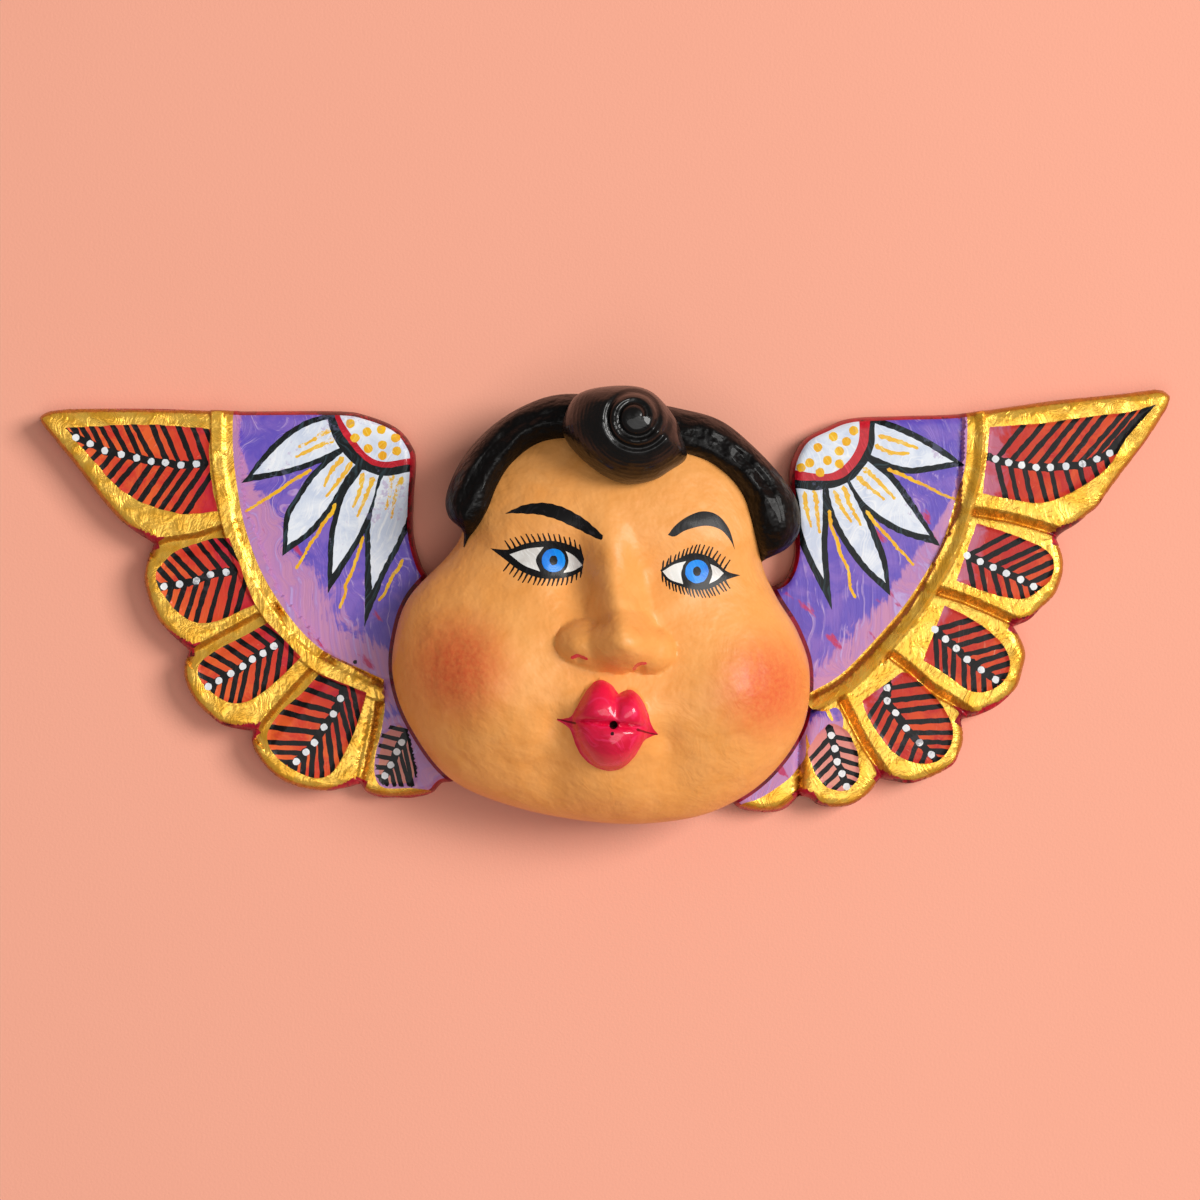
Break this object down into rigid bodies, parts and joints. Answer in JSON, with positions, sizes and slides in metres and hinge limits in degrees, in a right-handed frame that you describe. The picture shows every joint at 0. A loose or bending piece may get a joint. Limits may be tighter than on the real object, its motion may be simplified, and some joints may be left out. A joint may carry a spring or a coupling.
{
  "type": "winged angel mask",
  "caption": "Carved and painted wooden cherub mask, hollow behind, with a rolled curl and a carved wing butted to each cheek.",
  "frame": {"origin": "centre of the whole mask's footprint, on the flat back plane that it lies on", "axes": "+X towards the viewer's right wing, +Y towards the hair, +Z out of the face"},
  "size_m": [0.4742, 0.1817, 0.086],
  "materials": {
    "painted_head": "gloss flesh-coloured paint, black painted hair, red lips and bare wood behind",
    "painted_wing": "purple and orange paint with brushed gold leaf over red ground, bare wood behind"
  },
  "bodies": {
    "root": {"head": "painted_head", "wing_left": "painted_wing", "wing_right": "painted_wing"}
  },
  "joints": []
}
